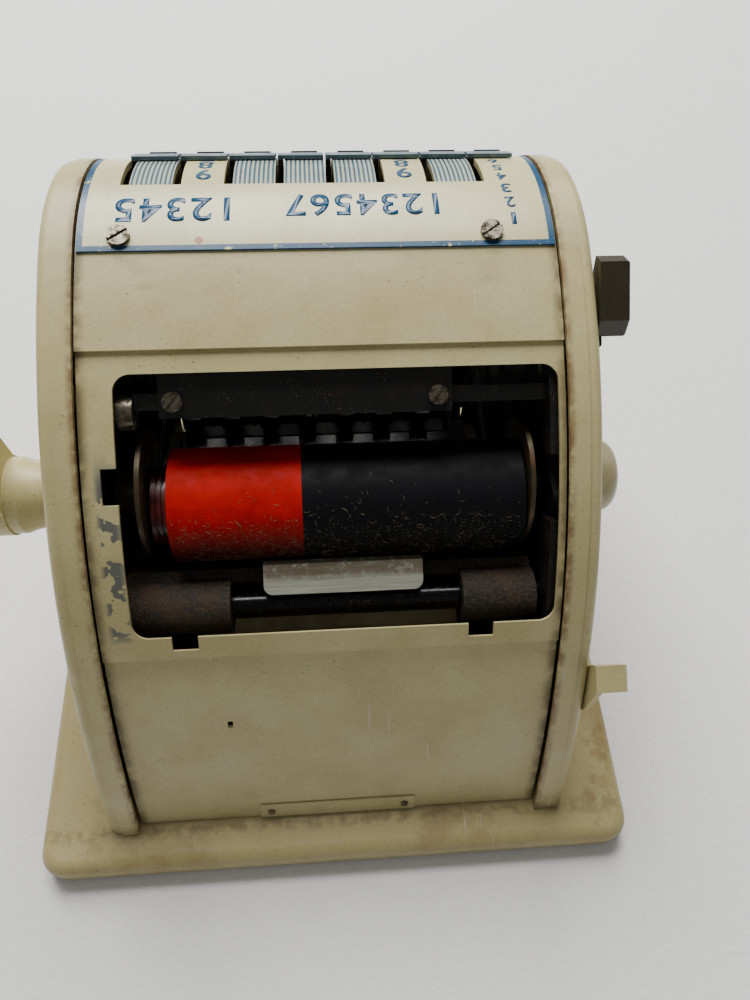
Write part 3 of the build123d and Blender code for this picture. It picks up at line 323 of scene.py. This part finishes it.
def print_ink(name="print_ink"):
    """Blue printing on the index plate, rubbed thin in places."""
    finish = Finish(name)
    rubbed = finish.cloud(800.0, 4.0, 0.7).rise(0.60, 0.70)
    colour = finish.blend(PRINT_BLUE, srgb(96, 136, 156), rubbed * 0.7)
    finish.relief(finish.cloud(1200.0, 2.0), 0.00003, 0.4)
    return finish.set(Base_Color=colour, Roughness=finish.cloud(90.0).rise(0.3, 0.7, 0.3, 0.42))


def lever_enamel(name="lever_enamel"):
    """Grey-blue enamel of the lever heads; the low ridge and the arm are bare oiled steel."""
    finish = Finish(name)
    away_y = finish.y - SHAFT_Y
    away_z = finish.z - SHAFT_Z
    reach = finish.number("ShaderNodeMath", {"operation": "SQRT"}, away_y * away_y + away_z * away_z)
    painted = reach.above(CREST_RADIUS + 0.0002) * reach.below(CREST_RADIUS + 0.00175)
    steel = finish.blend(srgb(48, 44, 36), RUST, finish.cloud(240.0, 4.0).rise(0.52, 0.7) * 0.6)
    rubbed = finish.cloud(500.0, 4.0, 0.7).rise(0.55, 0.66)
    paint = finish.blend(srgb(74, 98, 108), srgb(122, 134, 132), rubbed * 0.7)
    finish.relief(finish.cloud(700.0, 3.0), 0.00008, 0.5)
    rough = finish.cloud(120.0).rise(0.3, 0.7, 0.3, 0.5)
    return finish.set(Base_Color=finish.blend(steel, paint, painted), Roughness=rough,
                      Metallic=(1 - painted) * 0.7)


def dark_steel(name, tone, rusty=0.35, metal=0.75, rough=(0.35, 0.6)):
    """Oily, tarnished steel: brown film in clouds, rust in patches and dust specks."""
    finish = Finish(name)
    film = finish.cloud(85.0, 5.0, 0.7).rise(0.35, 0.7)
    colour = finish.blend(tone, tuple(part * 0.55 for part in tone), film)
    rust = finish.cloud(130.0, 5.0, 0.75).rise(0.52, 0.68)
    colour = finish.blend(colour, RUST, rust * rusty)
    dust = finish.dots(1100.0).below(0.16) * finish.cloud(180.0, 3.0).rise(0.5, 0.62)
    colour = finish.blend(colour, srgb(150, 130, 96), dust * 0.6)
    finish.relief(finish.cloud(420.0, 5.0, 0.7), 0.00015, 0.6)
    finish.set(Metallic=(1 - (rust * rusty + dust).clamped()) * metal)
    return finish.set(Base_Color=colour, Roughness=film.rise(0.0, 1.0, *rough))


def slotted_steel(name="screw_steel"):
    """Screw heads: grey steel with a brown bloom."""
    finish = Finish(name)
    bloom = finish.cloud(520.0, 4.0, 0.7).rise(0.42, 0.66)
    colour = finish.blend(srgb(120, 114, 98), srgb(52, 42, 30), bloom)
    finish.relief(finish.cloud(1400.0, 4.0, 0.7), 0.00012, 0.7)
    return finish.set(Base_Color=colour, Metallic=0.8, Roughness=bloom.rise(0.0, 1.0, 0.3, 0.6))


def rough_casting(name="rough_casting"):
    """Sand-cast iron: pitted, brown, with patches of rust, dusted."""
    finish = Finish(name)
    grain = finish.cloud(900.0, 6.0, 0.75)
    colour = finish.blend(srgb(24, 19, 14), srgb(78, 66, 50), grain.rise(0.40, 0.74))
    rust = finish.cloud(75.0, 5.0, 0.7).rise(0.46, 0.62)
    colour = finish.blend(colour, srgb(74, 50, 28), rust * 0.5)
    dust = finish.dots(1500.0).below(0.18) * finish.cloud(110.0, 3.0).rise(0.45, 0.62)
    colour = finish.blend(colour, srgb(170, 150, 112), dust * 0.6)
    finish.relief(grain + finish.cloud(260.0, 3.0) * 0.8, 0.0005, 0.9)
    return finish.set(Base_Color=colour, Metallic=0.15, Roughness=grain.rise(0.3, 0.7, 0.55, 0.85))


def inked_sleeve(name, ink, deep_tone_and_shade, dust_colour):
    """Ink sleeve: matt and even above, with painted shade darkening it towards the rear and underside, and
    dust and lint stuck there.
    """
    finish = Finish(name)
    height = (finish.z - ROLL_Z) / ROLL_RADIUS
    behind = (finish.y - ROLL_Y) / ROLL_RADIUS
    rear_and_underside = behind - height
    low = rear_and_underside.rise(-0.2, 0.5)
    cloudy = finish.cloud(60.0, 4.0, 0.65).rise(0.3, 0.7)
    colour = finish.blend(ink, deep_tone_and_shade, cloudy * 0.35)
    # Painted shade: the ink darkens to its deep tone towards the rear and underside of the roll, where the
    # top light does not reach.
    colour = finish.blend(colour, deep_tone_and_shade, rear_and_underside.rise(0.0, 1.1) * 0.95)
    grit = finish.cloud(1500.0, 4.0, 0.8).rise(0.56, 0.66) * finish.cloud(150.0, 4.0, 0.7).rise(0.40, 0.62)
    specks = finish.dots(900.0).below(0.2) * finish.cloud(200.0, 3.0).rise(0.42, 0.6)
    colour = finish.blend(colour, dust_colour, (grit * 0.55 + specks * 0.6).clamped() * low)
    finish.relief(finish.cloud(1100.0, 4.0, 0.7) + low * grit, 0.00018, 0.5)
    rough = finish.cloud(200.0).rise(0.3, 0.7, 0.5, 0.68)
    return finish.set(Base_Color=colour, Roughness=rough, Specular_IOR_Level=0.12)


def red_hub(name="stained_hub"):
    """Roll core, stained dark red, glossier where it is wet with ink."""
    finish = Finish(name)
    wet = finish.cloud(160.0, 4.0).rise(0.4, 0.65)
    colour = finish.blend(srgb(92, 16, 13), srgb(44, 7, 7), wet)
    finish.relief(finish.cloud(900.0, 3.0), 0.0001, 0.5)
    return finish.set(Base_Color=colour, Roughness=wet.rise(0.0, 1.0, 0.45, 0.25))


def dull_alloy(name="dull_alloy"):
    """Lift tab: dull grey plate, brushed along its length, ochre dirt caught in its upper bend."""
    finish = Finish(name)
    brushed = finish.cloud(1.0, 4.0, 0.6, finish.stretched((60.0, 1600.0, 1600.0)))
    colour = finish.blend(srgb(166, 167, 150), srgb(200, 200, 184), brushed.rise(0.3, 0.7))
    tab_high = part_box("lift_tab")[1]
    bend = (finish.z - (tab_high.z - 0.0024)) / 0.0016
    dirt = bend.rise(-0.6, 0.5) * finish.cloud(330.0, 5.0, 0.75).rise(0.32, 0.52)
    colour = finish.blend(colour, srgb(104, 84, 44), dirt * 0.7)
    specks = finish.dots(800.0).below(0.12) * finish.cloud(120.0).rise(0.5, 0.6)
    colour = finish.blend(colour, srgb(70, 62, 46), specks)
    finish.relief(brushed * 0.5 + finish.cloud(500.0, 4.0) * 0.5, 0.0001, 0.6)
    return finish.set(Base_Color=colour, Metallic=0.35, Roughness=brushed.rise(0.3, 0.7, 0.4, 0.6))


def polished_rod(name="polished_rod"):
    """Black oiled rod: near-mirror along its length, dust and rust flecks under it."""
    finish = Finish(name)
    flecks = finish.cloud(420.0, 5.0, 0.75).rise(0.58, 0.68)
    colour = finish.blend(srgb(12, 12, 13), srgb(84, 62, 36), flecks * 0.5)
    dust = finish.dots(1300.0).below(0.15) * finish.cloud(160.0).rise(0.46, 0.6)
    colour = finish.blend(colour, srgb(160, 150, 120), dust * 0.5)
    finish.relief(finish.cloud(700.0, 3.0), 0.00006, 0.4)
    return finish.set(Base_Color=colour, Metallic=0.5, Roughness=flecks.rise(0.0, 1.0, 0.2, 0.55))


def moulded(name, colour, shade, rough=(0.28, 0.42)):
    """Moulded plastic: slight clouding, handling dirt and fine scratches."""
    finish = Finish(name)
    cloudy = finish.cloud(90.0, 4.0).rise(0.35, 0.68)
    tone = finish.blend(colour, shade, cloudy * 0.6)
    dirt = finish.cloud(420.0, 5.0, 0.75).rise(0.56, 0.68)
    tone = finish.blend(tone, tuple(part * 0.4 for part in shade), dirt * 0.5)
    scratch = finish.cloud(1.0, 3.0, 0.5, finish.stretched((900.0, 70.0, 60.0), (0.3, 0.2, 0.7)))
    finish.relief(finish.cloud(500.0, 3.0) * 0.6 + scratch * 0.4, 0.00008, 0.5)
    return finish.set(Base_Color=tone, Roughness=cloudy.rise(0.0, 1.0, *rough))


def soft_floor(name="pale_floor"):
    """Plain pale floor with a very fine nap."""
    finish = Finish(name)
    nap = finish.cloud(420.0, 4.0, 0.7)
    colour = finish.blend(srgb(243, 243, 242), srgb(249, 249, 249), nap.rise(0.3, 0.7))
    finish.relief(nap * 0.6 + finish.cloud(60.0, 3.0) * 0.4, 0.0012, 0.5)
    return finish.set(Base_Color=colour, Roughness=0.95, Specular_IOR_Level=0.1)


STEEL = dark_steel("oily_steel", srgb(20, 19, 17), 0.12, 0.3, (0.45, 0.7))
THIN_STEEL = dark_steel("rusty_disc", srgb(84, 74, 54), 0.5, 0.6, (0.3, 0.5))
TYPE_METAL = dark_steel("type_metal", srgb(34, 31, 26), 0.1, 0.3)
SHAFT = polished_rod()
COVER = cover_enamel()
PANEL = panel_enamel()
BASE = base_enamel()
INDEX = index_enamel()
LEVER = lever_enamel()
SCREW = slotted_steel()
CASTING = rough_casting()
ALLOY = dull_alloy()
HUB = red_hub()
RED = inked_sleeve("red_sleeve", srgb(198, 16, 12), srgb(30, 5, 4), srgb(168, 104, 66))
BLACK = inked_sleeve("black_sleeve", srgb(20, 20, 24), srgb(6, 6, 6), srgb(120, 108, 82))
OLIVE = moulded("olive_moulding", srgb(52, 47, 29), srgb(38, 34, 20))
KNOB = moulded("cream_moulding", srgb(196, 188, 152), srgb(160, 148, 108))
RUBBER = moulded("black_rubber", srgb(26, 26, 26), srgb(18, 18, 18), (0.6, 0.8))

FINISH_OF_SLOT = {
    "cream_paint": PANEL, "base_paint": BASE, "index_enamel": INDEX, "lever_blue": LEVER,
    "type_metal": TYPE_METAL,
    "frame_steel": STEEL, "screw_steel": SCREW, "shaft_steel": SHAFT, "pad_rubber": RUBBER, "ink_red": RED,
    "ink_black": BLACK, "core_red": HUB, "disc_steel": THIN_STEEL, "rocker_iron": CASTING, "tab_alloy": ALLOY,
    "grip_cream": KNOB, "paddle_olive": OLIVE,
}
SPECIAL_FINISH = {
    "right_side_cover": COVER, "left_side_cover": COVER, "handle_hub": COVER, "handle_arm": COVER,
    "release_lever": COVER,
}


def paint(piece, material):
    piece.data.materials.clear()
    piece.data.materials.append(material)


for part in frame["record"]["subparts"]:
    node = part["node"]
    paint(NODES[node], SPECIAL_FINISH.get(node, FINISH_OF_SLOT[part["material_slot"]]))


# ------------------------------------------------------------------ printed figures
PRINT_THICKNESS = 0.06 * MM
PRINT_LIFT = 0.02 * MM
PRINT_STEP = 0.8 * MM


def curved_print(name, text, middle_x, slope, height, width):
    """Figures printed on the crest. A flat figure at (u, v) goes to x = middle + u and, on the arc about the
    shaft, to slope + v / radius, so that it reads upright from the front. It is cut into strips across the
    bend first."""
    letters = bpy.data.curves.new(name, "FONT")
    letters.body = text
    letters.align_x = "CENTER"
    letters.align_y = "CENTER"
    letters.size = 1.0
    letters.offset = 0.018
    letters.space_character = 1.12
    holder = bpy.data.objects.new(name, letters)
    bpy.context.scene.collection.objects.link(holder)
    bpy.context.view_layer.update()
    mesh = bpy.data.meshes.new_from_object(holder)
    bpy.data.objects.remove(holder)
    flat = np.empty(len(mesh.vertices) * 3)
    mesh.vertices.foreach_get("co", flat)
    flat = flat.reshape(-1, 3)
    low, high = flat.min(0), flat.max(0)
    flat = (flat - (low + high) / 2) * [width / (high[0] - low[0]), height / (high[1] - low[1]), 0.0]
    mesh.vertices.foreach_set("co", flat.ravel())
    cutter = bmesh.new()
    cutter.from_mesh(mesh)
    for v in np.arange(-height / 2 + PRINT_STEP, height / 2, PRINT_STEP):
        geometry = cutter.verts[:] + cutter.edges[:] + cutter.faces[:]
        bmesh.ops.bisect_plane(cutter, geom=geometry, plane_co=(0, v, 0), plane_no=(0, 1, 0))
    cutter.to_mesh(mesh)
    cutter.free()
    flat = np.empty(len(mesh.vertices) * 3)
    mesh.vertices.foreach_get("co", flat)
    flat = flat.reshape(-1, 3)
    turn = radians(slope) + flat[:, 1] / CREST_RADIUS
    reach = CREST_RADIUS + PRINT_LIFT
    around = [SHAFT_Y + reach * np.sin(turn), SHAFT_Z + reach * np.cos(turn)]
    bent = np.stack([middle_x + flat[:, 0], *around], 1)
    mesh.vertices.foreach_set("co", bent.ravel())
    piece = bpy.data.objects.new(name, mesh)
    bpy.context.scene.collection.objects.link(piece)
    thick = piece.modifiers.new("thickness", "SOLIDIFY")
    thick.thickness = PRINT_THICKNESS
    thick.offset = 1.0
    paint(piece, INK)
    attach(piece, "housing")
    return piece


INK = print_ink()


def tongue_middle(tongue):
    return FIRST_SLOT_X - (tongue - 0.5) * SLOT_PITCH


FIGURE_PITCH = 7.9
FIRST_FIGURE_SLOPE = -12.9
FIGURE_HEIGHT = 7.4 * MM
FIGURE_WIDTH = 4.8 * MM
NARROW_FIGURE_WIDTH = 1.7 * MM
for tongue in FIGURED_TONGUES:
    for step in range(9):
        figure = str(9 - step)
        curved_print(f"figure_{figure}_tongue_{tongue}", figure, tongue_middle(tongue),
                     FIRST_FIGURE_SLOPE - FIGURE_PITCH * step, FIGURE_HEIGHT,
                     NARROW_FIGURE_WIDTH if figure == "1" else FIGURE_WIDTH)
curved_print("index_figures_right", "12345", 44.3 * MM, 4.1, 10.0 * MM, 34.5 * MM)
curved_print("index_figures_left", "1234567", -13.6 * MM, 3.0, 9.6 * MM, 47.5 * MM)
for step in range(6):
    curved_print(f"index_figure_side_{step + 1}", str(step + 1), (-60.3 + 0.25 * step) * MM, 9.1 - 6.3 * step,
                 4.6 * MM, (1.5 if step == 0 else 3.2) * MM)


# ------------------------------------------------------------------ lint on the ink roll
def lint(name, count, x_low, x_high, seed, material):
    """Short curled hairs lying on the roll. Each follows the arc position + length * t, lifted by
    0.12 mm * sin(pi t) and curled by a steady turn of its heading, as a three-sided tube that narrows to both
    ends."""
    random = np.random.default_rng(seed)
    steps, sides = 6, 3
    t = np.linspace(0.0, 1.0, steps)[None, :]
    x = random.uniform(x_low + 1.5 * MM, x_high - 1.5 * MM, (count, 1))
    around = radians(108.0) - np.abs(random.normal(0.0, 1.0, (count, 1))) * radians(36.0)
    length = random.uniform(0.5, 3.4, (count, 1)) * MM * random.uniform(0.4, 1.0, (count, 1))
    heading = random.uniform(0.0, pi, (count, 1))
    curl = random.normal(0.0, 1.1, (count, 1))
    turn = heading + curl * (t - 0.5)
    step_x = np.cos(turn) * length / (steps - 1)
    step_a = np.sin(turn) * length / (steps - 1) / ROLL_RADIUS
    px = x + np.cumsum(step_x, 1)
    pa = around + np.cumsum(step_a, 1)
    lift = ROLL_RADIUS + 0.03 * MM + 0.12 * MM * np.sin(pi * t)
    thin = 0.045 * MM * (0.35 + 0.65 * np.sin(pi * t)) * random.uniform(0.6, 1.4, (count, 1))
    ring = np.arange(sides) * 2 * pi / sides
    side_x = -np.sin(turn)[..., None] * np.cos(ring)
    side_a = np.cos(turn)[..., None] * np.cos(ring)
    out = np.sin(ring)[None, None, :]
    vx = px[..., None] + thin[..., None] * side_x
    va = pa[..., None] + thin[..., None] * side_a / ROLL_RADIUS
    vr = lift[..., None] + thin[..., None] * out
    verts = np.stack([vx, ROLL_Y + vr * np.sin(va), ROLL_Z + vr * np.cos(va)], -1).reshape(-1, 3)
    base = (np.arange(count) * steps * sides)[:, None, None]
    along = (np.arange(steps - 1) * sides)[None, :, None]
    here = np.arange(sides)[None, None, :]
    after = (here + 1) % sides
    quads = np.stack([base + along + here, base + along + after, base + along + sides + after,
                      base + along + sides + here], -1).reshape(-1, 4)
    ends = [(first, first + 2, first + 1) for first in range(0, count * steps * sides, steps * sides)]
    last_ring = (steps - 1) * sides
    tips = [(last, last + 1, last + 2) for last in range(last_ring, count * steps * sides, steps * sides)]
    mesh = bpy.data.meshes.new(name)
    mesh.from_pydata(verts.tolist(), [], quads.tolist() + ends + tips)
    piece = bpy.data.objects.new(name, mesh)
    bpy.context.scene.collection.objects.link(piece)
    tidy = bmesh.new()
    tidy.from_mesh(mesh)
    bmesh.ops.recalc_face_normals(tidy, faces=tidy.faces)
    tidy.to_mesh(mesh)
    tidy.free()
    paint(piece, material)
    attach(piece, "ink_roll")
    return piece


def lint_fibre(name="lint_fibre"):
    """Pale, dusty fibre, from ochre to grey along the roll."""
    finish = Finish(name)
    shade = finish.cloud(900.0, 3.0)
    colour = finish.blend(srgb(118, 88, 56), srgb(158, 144, 116), shade.rise(0.35, 0.65))
    return finish.set(Base_Color=colour, Roughness=shade.rise(0.3, 0.7, 0.7, 0.9))


FIBRE = lint_fibre()
lint("lint_on_red", 380, ROLL_LOW.x, ROLL_HIGH.x, 11, FIBRE)
lint("lint_on_black", 460, BLACK_LOW.x, BLACK_HIGH.x, 12, FIBRE)

# ------------------------------------------------------------------ floor, light, camera
floor_mesh = bpy.data.meshes.new("floor")
HALF_FLOOR = 4.0
floor_corners = [(-HALF_FLOOR, -HALF_FLOOR, 0), (HALF_FLOOR, -HALF_FLOOR, 0), (HALF_FLOOR, HALF_FLOOR, 0),
                 (-HALF_FLOOR, HALF_FLOOR, 0)]
floor_mesh.from_pydata(floor_corners, [], [(0, 1, 2, 3)])
floor = bpy.data.objects.new("floor", floor_mesh)
bpy.context.scene.collection.objects.link(floor)
paint(floor, soft_floor())


def soft_light(name, place, target, size, power, colour=(1.0, 1.0, 1.0)):
    """Square area light facing a point."""
    lamp = bpy.data.lights.new(name, "AREA")
    lamp.size = size
    lamp.energy = power
    lamp.color = colour
    holder = bpy.data.objects.new(name, lamp)
    holder.location = place
    holder.rotation_euler = (Vector(target) - Vector(place)).to_track_quat("-Z", "Y").to_euler()
    bpy.context.scene.collection.objects.link(holder)
    return holder


WARM_WHITE = (1.0, 0.99, 0.97)
BODY_MIDDLE = (0.0, 0.0, 0.08)
soft_light("overhead", (0.15, -0.9, 1.3), BODY_MIDDLE, 1.0, 46.0, WARM_WHITE)
soft_light("rear_fill", (-0.7, 1.0, 0.9), (0.0, 0.05, 0.08), 1.2, 0.5, WARM_WHITE)
soft_light("side_fill", (0.9, 0.5, 0.7), BODY_MIDDLE, 1.0, 0.5)
world = bpy.data.worlds.new("studio")
world.use_nodes = True
sky = world.node_tree.nodes["Background"]
sky.inputs["Color"].default_value = (1.0, 1.0, 1.0, 1.0)
sky.inputs["Strength"].default_value = 0.17
bpy.context.scene.world = world

camera = bpy.data.objects.new("camera", bpy.data.cameras.new("camera"))
camera.data.lens = 38.4
camera.data.sensor_width = 36.0
camera.data.sensor_fit = "HORIZONTAL"
camera.data.clip_start = 0.01
camera.location = (0.00285, 0.16653, 0.32997)
camera.rotation_euler = (radians(31.5234), radians(-2.2110), radians(176.1185))
bpy.context.scene.collection.objects.link(camera)
bpy.context.scene.camera = camera
